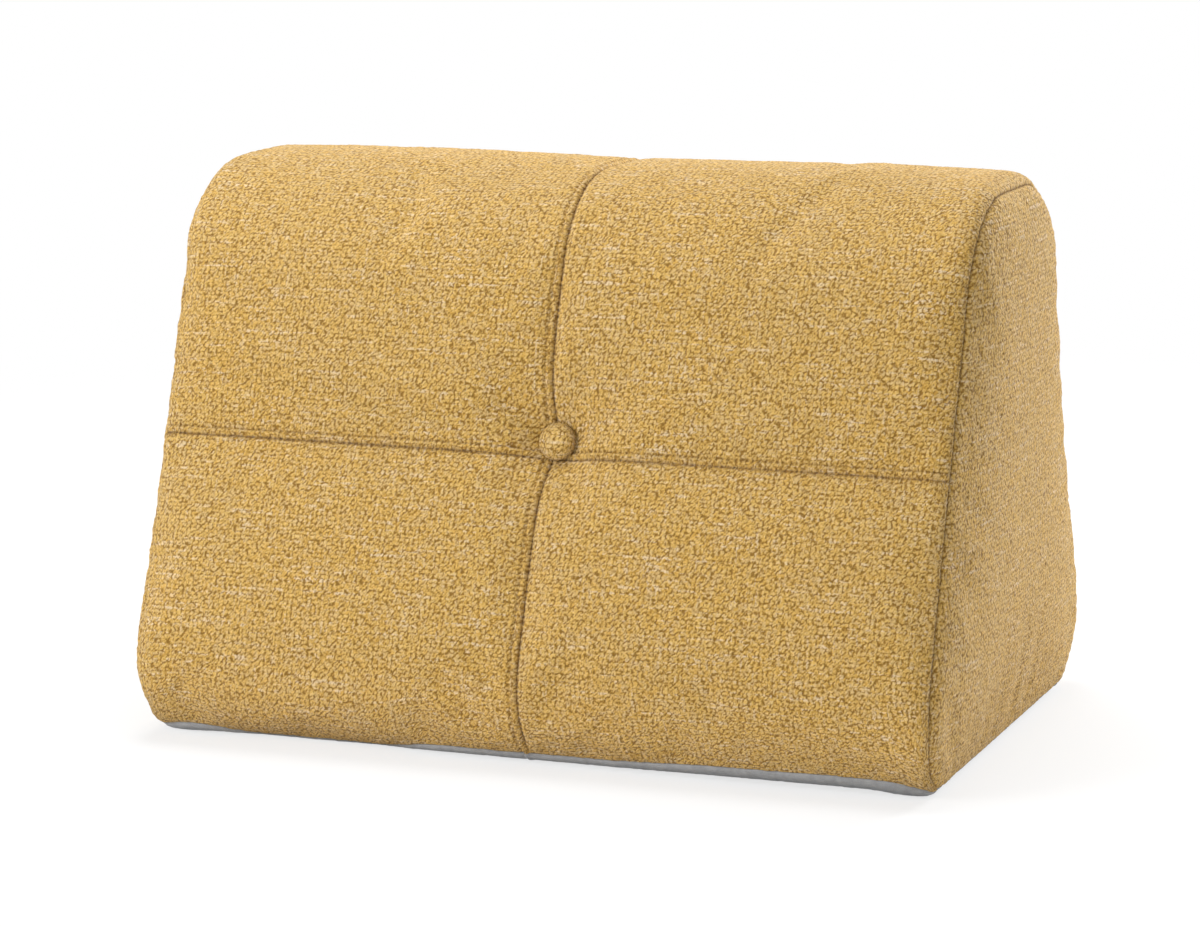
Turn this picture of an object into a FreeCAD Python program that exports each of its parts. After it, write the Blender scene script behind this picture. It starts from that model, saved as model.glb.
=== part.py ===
"""Wedge-shaped back cushion: foam core, wadding, lining, sewn cover, tufted buttons and a zip.

Millimetres.  X runs across the cushion, the front slope faces -Y, Z is up.
The origin is on the floor, under the middle of the cushion.
"""

import FreeCAD, Part
import math
import os

from FreeCAD import Matrix, Vector

# ---- outline of the finished cushion ----
WIDTH = 708.0          # side face to side face
BASE_DEPTH = 552.0     # between the two slopes, where they would meet the floor
HEIGHT = 478.0
SLOPE_RUN = 160.0      # how far each slope leans in over the height
RIDGE_RADIUS = 108.0   # front and back edges of the top
FOOT_RADIUS = 70.0     # front and back edges of the bottom
SIDE_RADIUS = 26.0     # edges between the side panels and the rest

# ---- layers, from the outside in ----
FABRIC = 1.6
LINING = 0.5
WADDING = 20.0
PLY_GAP = 0.15         # ease between one layer and the next

# ---- where the cover is sewn ----
CROSS_HEIGHT = 256.0   # cross seams, measured up at the slope
HEM_HEIGHT = 10.0      # cover fabric ends here and the base cloth begins
SEAM_TURN = 45.0       # degrees round the side edge at which a side panel is sewn on

# ---- where the buttons sit, a little up and right of the seams' crossing ----
BUTTON_ACROSS = 8.0
BUTTON_RISE = 13.0     # above the cross seams

# ---- dimple that each button is pulled into ----
DIMPLE_DEPTH = 18.0
FLOOR_EASE = 0.9       # flat bottom left round the button
DIMPLE_REACH = 70.0    # radius at which it has faded out
DIMPLE_LIP = 0.8       # the cutter ends this far above the slope

# ---- covered button ----
BUTTON_SHELL = 28.6    # diameter of the metal shell
BUTTON_FABRIC = 1.3
BUTTON_HEIGHT = 11.0
BUTTON_SKIRT = 3.6     # straight part of its side, below the round top
SHELL_WALL = 0.5
TURN_IN = 5.0          # fabric folded in under the shell
BACK_PLATE = 0.8
EYE_RADIUS = 3.2       # wire eye, to the middle of the wire
EYE_WIRE = 0.7
EYE_EASE = 0.6         # round the eye, where it goes through the cover
POCKET_EASE = 1.4      # round the eye, loop and knot, in the filling behind the button

# ---- tufting twine, from one button through the foam to the other ----
TWINE = 1.1            # radius
TWINE_LOOP = 3.5       # radius of the loop round the eye, to the middle of the twine
TWINE_EASE = 0.15
KNOT = 2.2

# ---- zip, across the back, just above the foot's rounding ----
ZIP_CLEAR = 6.0        # from the rounding up to the tape
ZIP_END_CLEAR = 48.0   # from the side edge's rounding to the stop
TAPE = 0.9
TAPE_WIDTH = 14.0      # from the middle line to the tape's outer edge
TAPE_END = 6.0         # tape left beyond each stop
PARTING = 1.0          # between the two coils, for the slider's web
COIL_WIDTH = 2.7
COIL_HEIGHT = 2.0
COIL_ROUND = 0.65
STOP_LENGTH = 3.0
STOP_OVER = 0.5        # stops stand this far above the slider's floor

# ---- slider and pull ----
RUN = 0.3              # running clearance
SLIDER_LENGTH = 11.0
SLIDER_PLATE = 1.0
SLIDER_WALL = 0.7
SLIDER_ROUND = 1.8     # its four corners, seen from outside
WEB_LENGTH = 5.0
ARCH_WIDTH = 2.0
ARCH_BAR = 1.1
ARCH_ROUND = 0.85
BAR_RADIUS = 0.6       # crossbar of the pull, under the arch
PULL_LENGTH = 25.0
PULL_LEG = 1.0
PULL_EASE = 0.85       # between the arch and the far end of the pull's window
PULL_HOLE = 1.2

FRONT, BACK = -1, 1
SLOPE = math.atan2(HEIGHT, SLOPE_RUN)
RISE, LEAN = math.sin(SLOPE), math.cos(SLOPE)
LINING_AT = FABRIC + PLY_GAP
WADDING_AT = LINING_AT + LINING + PLY_GAP
CORE_AT = WADDING_AT + WADDING + PLY_GAP
SEAM_X = WIDTH / 2 - SIDE_RADIUS * (1 - math.sin(math.radians(SEAM_TURN)))
FAR = 2 * WIDTH        # reach of the blocks that cut the cover into panels

# Button and what lies behind it.
SHELL_RADIUS = BUTTON_SHELL / 2
BUTTON_AT = CROSS_HEIGHT + BUTTON_RISE
DIMPLE_FLOOR = SHELL_RADIUS + BUTTON_FABRIC + FLOOR_EASE
SHANK_HOLE = EYE_RADIUS + EYE_WIRE + EYE_EASE
EYE_LEVEL = BUTTON_FABRIC - DIMPLE_DEPTH - EYE_RADIUS     # outwards from the slope
CATCH = EYE_RADIUS - EYE_WIRE - TWINE_EASE - TWINE        # eye's middle to the twine in it
KNOT_REACH = CATCH + 2 * TWINE_LOOP + 2 * KNOT
POCKET_RADIUS = max(TWINE_LOOP + TWINE, KNOT_REACH * LEAN + KNOT) + POCKET_EASE
POCKET_DEPTH = EYE_RADIUS - BUTTON_FABRIC + KNOT_REACH + POCKET_EASE

# Levels of the zip, outwards from the outer face of the cover.
TAPE_TOP = -FABRIC
TAPE_BOTTOM = TAPE_TOP - TAPE
COIL_TOP = TAPE_TOP + COIL_HEIGHT
UNDER_TOP = TAPE_BOTTOM - RUN
UNDER_BOTTOM = UNDER_TOP - SLIDER_PLATE
OVER_BOTTOM = COIL_TOP + RUN
OVER_TOP = OVER_BOTTOM + SLIDER_PLATE
BAR_LEVEL = OVER_TOP + RUN + BAR_RADIUS
STOP_TOP = OVER_BOTTOM + STOP_OVER

# Widths across the zip and lengths along it.
COIL_EDGE = PARTING / 2 + COIL_WIDTH
SLIDER_HALF = COIL_EDGE + RUN + SLIDER_WALL
SLOT_HALF = SLIDER_HALF + RUN
WEB = PARTING - 2 * RUN
BAR_ROOM = BAR_RADIUS + RUN
ARCH_HALF = BAR_ROOM + ARCH_BAR
PULL_EYE = math.sqrt(2) * ARCH_HALF + PULL_EASE
ZIP_HEIGHT = FOOT_RADIUS * (1 + LEAN) + (TAPE_WIDTH + RUN) * RISE + ZIP_CLEAR
ZIP_LENGTH = WIDTH - 2 * (SIDE_RADIUS + ZIP_END_CLEAR)
STOP_AT = ZIP_LENGTH / 2 - STOP_LENGTH
SLIDER_AT = -(STOP_AT - RUN - SLIDER_LENGTH / 2)   # closed end, along the zip


# ---- small helpers ----
def box(x0, x1, y0, y1, z0, z1):
    return Part.makeBox(x1 - x0, y1 - y0, z1 - z0, Vector(x0, y0, z0))


def rod(radius, start, end):
    line = end - start
    return Part.makeCylinder(radius, line.Length, start, line)


def slope_point(side, height):
    """Point of the front or back slope, in the middle of the cushion, at a height."""
    return Vector(0, side * (BASE_DEPTH / 2 - height / math.tan(SLOPE)), height)


def outwards(side):
    return Vector(0, side * RISE, LEAN)


def up_slope(side):
    return Vector(0, -side * LEAN, RISE)


def on_slope(shape, side, height):
    """Set a shape that was drawn flat, Z outwards and Y up the slope, onto a slope."""
    across, up, out = Vector(-side, 0, 0), up_slope(side), outwards(side)
    at = slope_point(side, height)
    turn = Matrix(across.x, up.x, out.x, at.x, across.y, up.y, out.y, at.y,
                  across.z, up.z, out.z, at.z, 0, 0, 0, 1)
    return shape.transformed(turn, True)


def at_button(shape, side):
    """Set a flat-drawn shape where a button sits on its slope."""
    placed = on_slope(shape, side, BUTTON_AT)
    placed.translate(Vector(BUTTON_ACROSS, 0, 0))
    return placed


def prism(corners):
    """Block right across the cushion from (y, z) corners."""
    points = [Vector(-FAR / 2, y, z) for y, z in corners]
    return Part.Face(Part.makePolygon(points + points[:1])).extrude(Vector(FAR, 0, 0))


def revolved(edges):
    """Solid of revolution about Z from edges that run from the axis and back to it."""
    return Part.Face(Part.Wire(edges)).revolve(Vector(0, 0, 0), Vector(0, 0, 1), 360)


# ---- the cushion's outline, drawn in by any thickness ----
def arc_about(centre, radius, start, end):
    middle = start + end
    middle.normalize()
    points = [centre + d * radius for d in (start, middle, end)]
    return Part.Arc(*points).toShape()


def wedge_profile(inset):
    """Side outline: two slopes, a rounded ridge and rounded feet."""
    foot_y = BASE_DEPTH / 2 - FOOT_RADIUS * (1 + LEAN) / RISE
    ridge_y = BASE_DEPTH / 2 - (RIDGE_RADIUS + (HEIGHT - RIDGE_RADIUS) * LEAN) / RISE
    down, up = Vector(0, 0, -1), Vector(0, 0, 1)
    arcs = []
    for side in (FRONT, BACK):
        foot = Vector(0, side * foot_y, FOOT_RADIUS)
        ridge = Vector(0, side * ridge_y, HEIGHT - RIDGE_RADIUS)
        pair = [arc_about(foot, FOOT_RADIUS - inset, down, outwards(side)),
                arc_about(ridge, RIDGE_RADIUS - inset, outwards(side), up)]
        arcs.append([[arc.valueAt(t) for t in arc.ParameterRange] + [arc] for arc in pair])
    (foot_f, ridge_f), (foot_b, ridge_b) = arcs
    lines = [Part.makeLine(foot_f[1], ridge_f[0]), Part.makeLine(ridge_f[1], ridge_b[1]),
             Part.makeLine(ridge_b[0], foot_b[1]), Part.makeLine(foot_b[0], foot_f[0])]
    edges = [foot_f[2], lines[0], ridge_f[2], lines[1], ridge_b[2], lines[2], foot_b[2], lines[3]]
    return Part.Wire(Part.__sortEdges__(edges))


def dimple(inset):
    """Cutter for a button's dimple, drawn flat and sunk by the inset."""
    drop = DIMPLE_DEPTH + DIMPLE_LIP
    run = DIMPLE_REACH - DIMPLE_FLOOR
    swell = (run * run + drop * drop) / (2 * drop)
    turn = math.asin(run / swell) / 2
    floor = Vector(DIMPLE_FLOOR, 0, -DIMPLE_DEPTH)
    edge = Vector(DIMPLE_REACH, 0, DIMPLE_LIP)
    middle = Vector(DIMPLE_REACH - swell * math.sin(turn), 0,
                    DIMPLE_LIP - swell * (1 - math.cos(turn)))
    top = 2 * DIMPLE_DEPTH
    loop = [Vector(0, 0, -DIMPLE_DEPTH), floor, edge, Vector(DIMPLE_REACH, 0, top), Vector(0, 0, top)]
    edges = [Part.makeLine(loop[0], loop[1]), Part.Arc(floor, middle, edge).toShape()]
    edges += [Part.makeLine(loop[i], loop[(i + 1) % len(loop)]) for i in range(2, len(loop))]
    cutter = revolved(edges)
    cutter.translate(Vector(0, 0, -inset))
    return cutter


def wedge(inset):
    """The whole cushion, drawn in by the inset, with both dimples."""
    half = WIDTH / 2 - inset
    profile = wedge_profile(inset)
    profile.translate(Vector(-half, 0, 0))
    body = Part.Face(profile).extrude(Vector(2 * half, 0, 0))
    edge_radius = SIDE_RADIUS - inset
    if edge_radius > 0:
        rims = [e for e in body.Edges if e.BoundBox.XLength < half / 2]
        body = body.makeFillet(edge_radius, rims)
    for side in (FRONT, BACK):
        body = body.cut(at_button(dimple(inset), side))
    return body


def layer(outer, inner):
    return wedge(outer).cut(wedge(inner))


# ---- sewn cover ----
def cross_regions():
    """Blocks above the cross seams, in front below them, and behind below them."""
    front, back = [slope_point(s, CROSS_HEIGHT) for s in (FRONT, BACK)]
    meet = CROSS_HEIGHT - back.y * LEAN / RISE
    ends = []
    for side, point in ((FRONT, front), (BACK, back)):
        end = point + outwards(side) * (FAR / 4)
        ends.append((end.y, end.z))
    low, high = -FAR / 4, FAR / 2
    upper = prism([(0, meet), ends[1], (ends[1][0], high), (ends[0][0], high), ends[0]])
    lower_front = prism([(0, meet), ends[0], (ends[0][0], low), (0, low)])
    lower_back = prism([(0, meet), (0, low), (ends[1][0], low), ends[1]])
    return upper, lower_front, lower_back


def below_zip():
    """Block of everything below the zip's middle line."""
    line = slope_point(BACK, ZIP_HEIGHT)
    out, deep = line + outwards(BACK) * FAR, line - outwards(BACK) * FAR
    return prism([(out.y, out.z), (deep.y, deep.z), (deep.y, deep.z - 2 * FAR), (out.y, deep.z - 2 * FAR)])


def cover_panels():
    shell = layer(0, FABRIC)
    for side in (FRONT, BACK):
        hole = Part.makeCylinder(SHANK_HOLE, 4 * DIMPLE_DEPTH, Vector(0, 0, -2 * DIMPLE_DEPTH))
        shell = shell.cut(at_button(hole, side))
    slot = box(-ZIP_LENGTH / 2, ZIP_LENGTH / 2, -SLOT_HALF, SLOT_HALF, -2 * FABRIC, FABRIC)
    shell = shell.cut(on_slope(slot, BACK, ZIP_HEIGHT))

    def between(x0, x1, z0, z1):
        return box(x0, x1, -FAR / 2, FAR / 2, z0, z1)

    above_hem = shell.common(between(-FAR / 2, FAR / 2, HEM_HEIGHT, FAR))
    panels = {"base_panel": shell.common(between(-FAR / 2, FAR / 2, -FAR, HEM_HEIGHT))}
    upper, lower_front, lower_back = cross_regions()
    foot = below_zip()
    middle = above_hem.common(between(-SEAM_X, SEAM_X, 0, FAR))
    back = middle.common(lower_back)
    panels["back_foot_strip"] = back.common(foot)
    for hand, x0, x1 in (("left", -SEAM_X, 0), ("right", 0, SEAM_X)):
        half = between(x0, x1, 0, FAR)
        panels["upper_panel_" + hand] = middle.common(upper).common(half)
        panels["front_lower_panel_" + hand] = middle.common(lower_front).common(half)
        panels["back_lower_panel_" + hand] = back.cut(foot).common(half)
    panels["side_panel_left"] = above_hem.common(between(-FAR, -SEAM_X, 0, FAR))
    panels["side_panel_right"] = above_hem.common(between(SEAM_X, FAR, 0, FAR))
    return panels


# ---- filling ----
def filling():
    """Lining, wadding and foam, with room for the zip, the button eyes and the twine."""
    eye = eye_centre(FRONT)
    needle = rod(TWINE + TWINE_EASE, eye, Vector(eye.x, -eye.y, eye.z))
    rooms = [needle]
    for side in (FRONT, BACK):
        pocket = Part.makeCylinder(POCKET_RADIUS, POCKET_DEPTH + FABRIC,
                                   Vector(0, 0, -DIMPLE_DEPTH - POCKET_DEPTH))
        rooms.append(at_button(pocket, side))
    tape_half = ZIP_LENGTH / 2 + TAPE_END + RUN
    tape_room = box(-tape_half, tape_half, -TAPE_WIDTH - RUN, TAPE_WIDTH + RUN, TAPE_BOTTOM - PLY_GAP, 0)
    slider_room = box(-STOP_AT, STOP_AT, -SLOT_HALF, SLOT_HALF, UNDER_BOTTOM - RUN, 0)
    rooms += [on_slope(room, BACK, ZIP_HEIGHT) for room in (tape_room, slider_room)]
    layers = {"inner_lining": layer(LINING_AT, LINING_AT + LINING),
              "wadding_wrap": layer(WADDING_AT, WADDING_AT + WADDING),
              "foam_core": wedge(CORE_AT)}
    for name in layers:
        for room in rooms:
            layers[name] = layers[name].cut(room)
    return layers


# ---- buttons and twine ----
def dome(radius, height, base):
    """Solid cap: a short straight skirt with a round top, standing at the base level."""
    level = base + height
    skirt = BUTTON_SKIRT - DIMPLE_DEPTH
    crown = level - skirt
    ball = (radius * radius + crown * crown) / (2 * crown)
    turn = math.asin(radius / ball) / 2
    rim = Vector(radius, 0, skirt)
    top = Vector(0, 0, level)
    middle = Vector(ball * math.sin(turn), 0, level - ball * (1 - math.cos(turn)))
    corner, centre = Vector(radius, 0, base), Vector(0, 0, base)
    edges = [Part.makeLine(centre, corner), Part.makeLine(corner, rim),
             Part.Arc(rim, middle, top).toShape(), Part.makeLine(top, centre)]
    return revolved(edges)


def eye_centre(side):
    middle = slope_point(side, BUTTON_AT) + outwards(side) * EYE_LEVEL
    return middle + Vector(BUTTON_ACROSS, 0, 0)


def button_pieces():
    base = -DIMPLE_DEPTH
    inside = base + BUTTON_FABRIC
    shell_height = BUTTON_HEIGHT - 2 * BUTTON_FABRIC
    outer = dome(SHELL_RADIUS + BUTTON_FABRIC, BUTTON_HEIGHT, base)
    form = dome(SHELL_RADIUS, shell_height, inside)
    opening = Part.makeCylinder(SHELL_RADIUS - TURN_IN, BUTTON_FABRIC, Vector(0, 0, base))
    bore = dome(SHELL_RADIUS - SHELL_WALL, shell_height - SHELL_WALL, inside)
    plate = Part.makeCylinder(SHELL_RADIUS - SHELL_WALL, BACK_PLATE, Vector(0, 0, inside))
    eye = Part.makeTorus(EYE_RADIUS, EYE_WIRE, Vector(0, 0, EYE_LEVEL), Vector(1, 0, 0))
    eye = eye.cut(Part.makeCylinder(SHELL_RADIUS, EYE_RADIUS, Vector(0, 0, inside + BACK_PLATE / 2)))
    return {"fabric": outer.cut(form).cut(opening),
            "shell": form.cut(bore),
            "back": plate.fuse(eye)}


def buttons():
    flat = button_pieces()
    return {f"{place}_button_{piece}": at_button(flat[piece], side)
            for place, side in (("front", FRONT), ("back", BACK)) for piece in flat}


def twine():
    """Twine straight through the foam, with a knotted loop round each button's eye."""
    inwards = Vector(0, 1, 0)
    eye = eye_centre(FRONT)
    loop_at = eye + inwards * (CATCH + TWINE_LOOP)
    leave = loop_at + inwards * TWINE_LOOP
    cord = rod(TWINE, leave, Vector(leave.x, -leave.y, leave.z))
    for sign in (1, -1):
        ring = Part.makeTorus(TWINE_LOOP, TWINE, Vector(eye.x, sign * loop_at.y, loop_at.z), Vector(0, 0, 1))
        knot = Part.makeSphere(KNOT, Vector(eye.x, sign * (leave.y + KNOT), leave.z))
        cord = cord.fuse(ring).fuse(knot)
    return cord


# ---- zip ----
def zip_tapes_and_coils():
    """Tape and coil of each half: upper is above the middle line, lower below it."""
    pieces = {}
    tape_half = ZIP_LENGTH / 2 + TAPE_END
    for name, sign in (("upper", 1), ("lower", -1)):
        tape = box(-tape_half, tape_half, PARTING / 2, TAPE_WIDTH, TAPE_BOTTOM, TAPE_TOP)
        coil = box(-STOP_AT, STOP_AT, PARTING / 2, COIL_EDGE, TAPE_TOP, COIL_TOP)
        lengthwise = [e for e in coil.Edges
                      if e.BoundBox.XLength > STOP_AT and e.BoundBox.ZMin > TAPE_TOP + COIL_HEIGHT / 2]
        coil = coil.makeFillet(COIL_ROUND, lengthwise)
        for piece, solid in (("tape", tape), ("coil", coil)):
            if sign < 0:
                solid = solid.mirror(Vector(0, 0, 0), Vector(0, 1, 0))
            pieces[f"zip_{piece}_{name}"] = solid
    return pieces


def zip_stops():
    """Metal stops that clamp both tapes at each end."""
    stops = []
    for sign in (1, -1):
        near, far = sorted((sign * STOP_AT, sign * ZIP_LENGTH / 2))
        stops.append(box(near, far, -COIL_EDGE, COIL_EDGE, TAPE_TOP, STOP_TOP))
    return Part.makeCompound(stops)


def slider():
    """Plates over and under the coils, a web between them, side walls and an arch."""
    half = SLIDER_LENGTH / 2
    over = box(-half, half, -SLIDER_HALF, SLIDER_HALF, OVER_BOTTOM, OVER_TOP)
    under = box(-half, half, -SLIDER_HALF, SLIDER_HALF, UNDER_BOTTOM, UNDER_TOP)
    web = box(half - WEB_LENGTH, half, -WEB / 2, WEB / 2, UNDER_BOTTOM, OVER_TOP)
    body = over.fuse([under, web])
    corners = [e for e in body.Edges
               if e.BoundBox.ZLength > SLIDER_PLATE / 2 and e.BoundBox.YMax - e.BoundBox.YMin < RUN
               and abs(e.BoundBox.YMin) > SLIDER_HALF - RUN]
    body = body.makeFillet(SLIDER_ROUND, corners)
    for sign in (1, -1):
        near, far = sorted((sign * (SLIDER_HALF - SLIDER_WALL), sign * SLIDER_HALF))
        wall = box(-half / 2, half / 2, near, far, TAPE_TOP + RUN, OVER_TOP)
        body = body.fuse(wall)
    crest = BAR_LEVEL + BAR_ROOM
    arch = box(-ARCH_HALF, ARCH_HALF, -ARCH_WIDTH / 2, ARCH_WIDTH / 2, OVER_TOP, crest + ARCH_BAR)
    arch = arch.cut(box(-BAR_ROOM, BAR_ROOM, -ARCH_WIDTH, ARCH_WIDTH, OVER_TOP, crest))
    crown = [e for e in arch.Edges
             if e.BoundBox.YLength > ARCH_WIDTH / 2 and e.BoundBox.ZMin > crest + ARCH_BAR / 2]
    arch = arch.makeFillet(ARCH_ROUND, crown)
    return body.fuse(arch).removeSplitter()


def pull():
    """Pull tab with a window at one end: its crossbar lies under the slider's arch."""
    inner = ARCH_WIDTH / 2 + RUN
    outer = inner + PULL_LEG
    low, high = BAR_LEVEL - BAR_RADIUS, BAR_LEVEL + BAR_RADIUS
    tab = box(PULL_EYE, PULL_LENGTH - outer, -outer, outer, low, high)
    tab = tab.fuse(Part.makeCylinder(outer, high - low, Vector(PULL_LENGTH - outer, 0, low)))
    for sign in (1, -1):
        near, far = sorted((sign * inner, sign * outer))
        tab = tab.fuse(box(0, PULL_EYE, near, far, low, high))
    tab = tab.fuse(rod(BAR_RADIUS, Vector(0, -outer, BAR_LEVEL), Vector(0, outer, BAR_LEVEL)))
    hole = Part.makeCylinder(PULL_HOLE, 4 * BAR_RADIUS, Vector(PULL_LENGTH - outer, 0, low - BAR_RADIUS))
    return tab.cut(hole).removeSplitter()


def zip_pieces():
    pieces = zip_tapes_and_coils()
    pieces["zip_stops"] = zip_stops()
    pieces["zip_slider"] = slider().translated(Vector(SLIDER_AT, 0, 0))
    pieces["zip_pull"] = pull().translated(Vector(SLIDER_AT, 0, 0))
    return {name: on_slope(piece, BACK, ZIP_HEIGHT) for name, piece in pieces.items()}


def build():
    nodes = cover_panels()
    nodes.update(filling())
    nodes.update(buttons())
    nodes["tufting_twine"] = twine()
    nodes.update(zip_pieces())
    return nodes


os.makedirs("parts", exist_ok=True)
for node, shape in build().items():
    shape.exportStep(f"parts/{node}.step")
    print(f"{node}: {len(shape.Solids)} solid(s), {shape.Volume:.0f} mm3, valid {shape.isValid()}")
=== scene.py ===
"""Looks of the wedge back cushion: sewn boucle cover, covered buttons, base cloth and zip."""

import math

import bmesh
import bpy
import numpy as np
from mathutils import Matrix, Vector
from mathutils.kdtree import KDTree


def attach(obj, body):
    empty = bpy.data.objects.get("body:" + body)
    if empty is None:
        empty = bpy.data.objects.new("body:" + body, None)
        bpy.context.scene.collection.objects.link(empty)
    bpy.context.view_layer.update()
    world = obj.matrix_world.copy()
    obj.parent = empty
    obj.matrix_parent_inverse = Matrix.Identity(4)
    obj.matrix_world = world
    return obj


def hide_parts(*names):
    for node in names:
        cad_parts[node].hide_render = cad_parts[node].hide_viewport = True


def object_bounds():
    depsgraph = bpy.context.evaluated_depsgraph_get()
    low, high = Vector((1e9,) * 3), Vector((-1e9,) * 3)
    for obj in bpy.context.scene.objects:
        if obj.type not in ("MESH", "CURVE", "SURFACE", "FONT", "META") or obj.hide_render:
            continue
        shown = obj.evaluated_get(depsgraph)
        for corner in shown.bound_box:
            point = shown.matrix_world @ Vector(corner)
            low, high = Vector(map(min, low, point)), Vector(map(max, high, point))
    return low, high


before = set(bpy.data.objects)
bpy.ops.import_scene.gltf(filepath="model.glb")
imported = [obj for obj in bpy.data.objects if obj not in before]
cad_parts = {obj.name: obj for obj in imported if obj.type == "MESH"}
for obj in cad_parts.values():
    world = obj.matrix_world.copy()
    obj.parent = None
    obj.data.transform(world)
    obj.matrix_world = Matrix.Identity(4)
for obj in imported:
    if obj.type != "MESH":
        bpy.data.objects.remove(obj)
cad_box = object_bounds()

# ---- outline, in metres, as the construction has it ----
WIDTH = cad_box[1].x - cad_box[0].x
HEIGHT = cad_box[1].z
BASE_DEPTH = 0.552       # between the slopes, where they would meet the floor
SLOPE_RUN = 0.160
RIDGE_RADIUS = 0.108
FOOT_RADIUS = 0.070
SIDE_RADIUS = 0.026
SLOPE = math.atan2(HEIGHT, SLOPE_RUN)
RISE, LEAN = math.sin(SLOPE), math.cos(SLOPE)
CROSS_HEIGHT = 0.256     # cross seams
BUTTON_RISE = 0.013      # the buttons sit this far above the seams' crossing
BUTTON_ACROSS = 0.008    # and this far to its right
ZIP_HALF = 0.280         # half the zip's length
SLOT_HALF = 0.0045       # half the gap that the cover leaves for the zip
ZIP_HEIGHT = FOOT_RADIUS * (1 + LEAN) + 0.0143 * RISE + 0.006
DIMPLE_DEPTH = 0.018
BUTTON_RADIUS = 0.0156

# ---- how the cover sits on its filling ----
TUCK = 0.0015            # seams lie this far inside the construction's outline
HEM_OVER = 0.0008        # the hem stands this far over the base cloth
STEP = 0.0078            # size of the cage's squares
HEM = 0.0110             # cover's lower edge, in the middle of a side
HEM_CORNER = 0.0045      # and at the corners and along the side panels
HEM_LOW = 0.0075         # the hem sags by this left of the middle
HEM_HIGH = 0.0050        # and rides up by this on the right
BUTTON_PULL = 0.0055     # the seams are drawn sideways to the button by this
FLOOR_TUCK = 0.0080      # the side panels draw in by this at the floor
FOOT_SIDE_RADIUS = 0.010 # side edges are tighter at the floor
SEAM_TURN = math.radians(45)
LIMIT = 0.0085           # furthest that the cover may swell
SIDE_LIMIT = 0.0125      # and its side panels

FRONT, BACK = -1, 1


# ---- outline of the cushion, seen from the side ----
FOOT_SWEEP = math.pi - SLOPE
FOOT_ARC = FOOT_RADIUS * FOOT_SWEEP
FOOT_TOP = FOOT_RADIUS * (1 + LEAN)
RIDGE_FOOT = HEIGHT - RIDGE_RADIUS * (1 - LEAN)
SLOPE_LINE = (RIDGE_FOOT - FOOT_TOP) / RISE
RIDGE_ARC = RIDGE_RADIUS * SLOPE
FOOT_Y = BASE_DEPTH / 2 - FOOT_RADIUS * (1 + LEAN) / RISE
RIDGE_Y = BASE_DEPTH / 2 - (RIDGE_RADIUS + (HEIGHT - RIDGE_RADIUS) * LEAN) / RISE
HALF_ROUND = FOOT_ARC + SLOPE_LINE + RIDGE_ARC + RIDGE_Y
ALL_ROUND = 2 * HALF_ROUND


def outline(s):
    """Points (y, z) and outward normals of the side outline at lengths s from the front foot."""
    s = np.asarray(s, float)
    back = s > HALF_ROUND
    t = np.where(back, ALL_ROUND - s, s)
    foot = np.clip(t / FOOT_RADIUS, None, FOOT_SWEEP)
    ridge = np.clip((t - FOOT_ARC - SLOPE_LINE) / RIDGE_RADIUS, 0, SLOPE)
    turn = np.where(t < FOOT_ARC, foot, FOOT_SWEEP + ridge)
    ny, nz = -np.sin(turn), -np.cos(turn)
    along = np.clip(t - FOOT_ARC, 0, SLOPE_LINE)
    y_low = -FOOT_Y + FOOT_RADIUS * ny + along * LEAN
    z_low = FOOT_RADIUS + FOOT_RADIUS * nz + along * RISE
    flat = np.clip(t - FOOT_ARC - SLOPE_LINE - RIDGE_ARC, 0, None)
    y_top = -RIDGE_Y + RIDGE_RADIUS * ny + flat
    z_top = HEIGHT - RIDGE_RADIUS + RIDGE_RADIUS * nz
    top = t > FOOT_ARC + SLOPE_LINE
    y = np.where(top, y_top, y_low)
    z = np.where(top, z_top, z_low)
    mirror = np.where(back, -1, 1)
    return y * mirror, z, ny * mirror, nz


def slope_length(height):
    """Length along the outline, from the front foot, to a height on the slope."""
    return FOOT_ARC + (height - FOOT_TOP) / RISE


def hem_length(height):
    return FOOT_RADIUS * np.arccos(1 - height / FOOT_RADIUS)


CROSS_FRONT = slope_length(CROSS_HEIGHT)
CROSS_BACK = ALL_ROUND - CROSS_FRONT
ZIP_LINE = ALL_ROUND - slope_length(ZIP_HEIGHT)


def smooth(x, low, high):
    t = np.clip((x - low) / (high - low), 0, 1)
    return t * t * (3 - 2 * t)


def side_radius(z):
    return FOOT_SIDE_RADIUS + (SIDE_RADIUS - FOOT_SIDE_RADIUS) * smooth(z, 0.005, 0.100)


FLAT_HALF = WIDTH / 2 - SIDE_RADIUS
ACROSS = FLAT_HALF + SIDE_RADIUS * SEAM_TURN


def near_zip(a, s):
    """1 beside the zip, where the cover is sewn flat to the tape, and 0 away from it."""
    past = np.clip(np.abs(a) - ZIP_HALF - 0.018, 0, None)
    over = np.clip(np.abs(s - ZIP_LINE) - SLOT_HALF - 0.004, 0, None)
    return 1 - smooth(np.hypot(past, over), 0, 0.026)


def near_hem(s):
    """1 at the hem and 0 away from it."""
    from_hem = np.minimum(s, ALL_ROUND - s) - hem_length(HEM)
    return 1 - smooth(from_hem, 0, 0.022)


def hem_height(a):
    """Height of the cover's lower edge, which isn't quite level."""
    sag = HEM_LOW * smooth(a, -0.295, -0.235) * (1 - smooth(a, -0.135, -0.075))
    lift = HEM_HIGH * smooth(a, 0.02, 0.21)
    height = HEM - sag + lift + 0.0004 * np.sin(a * 57)
    corner = smooth(np.abs(a), ACROSS - 0.050, ACROSS)
    return height + (HEM_CORNER - height) * corner


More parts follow.
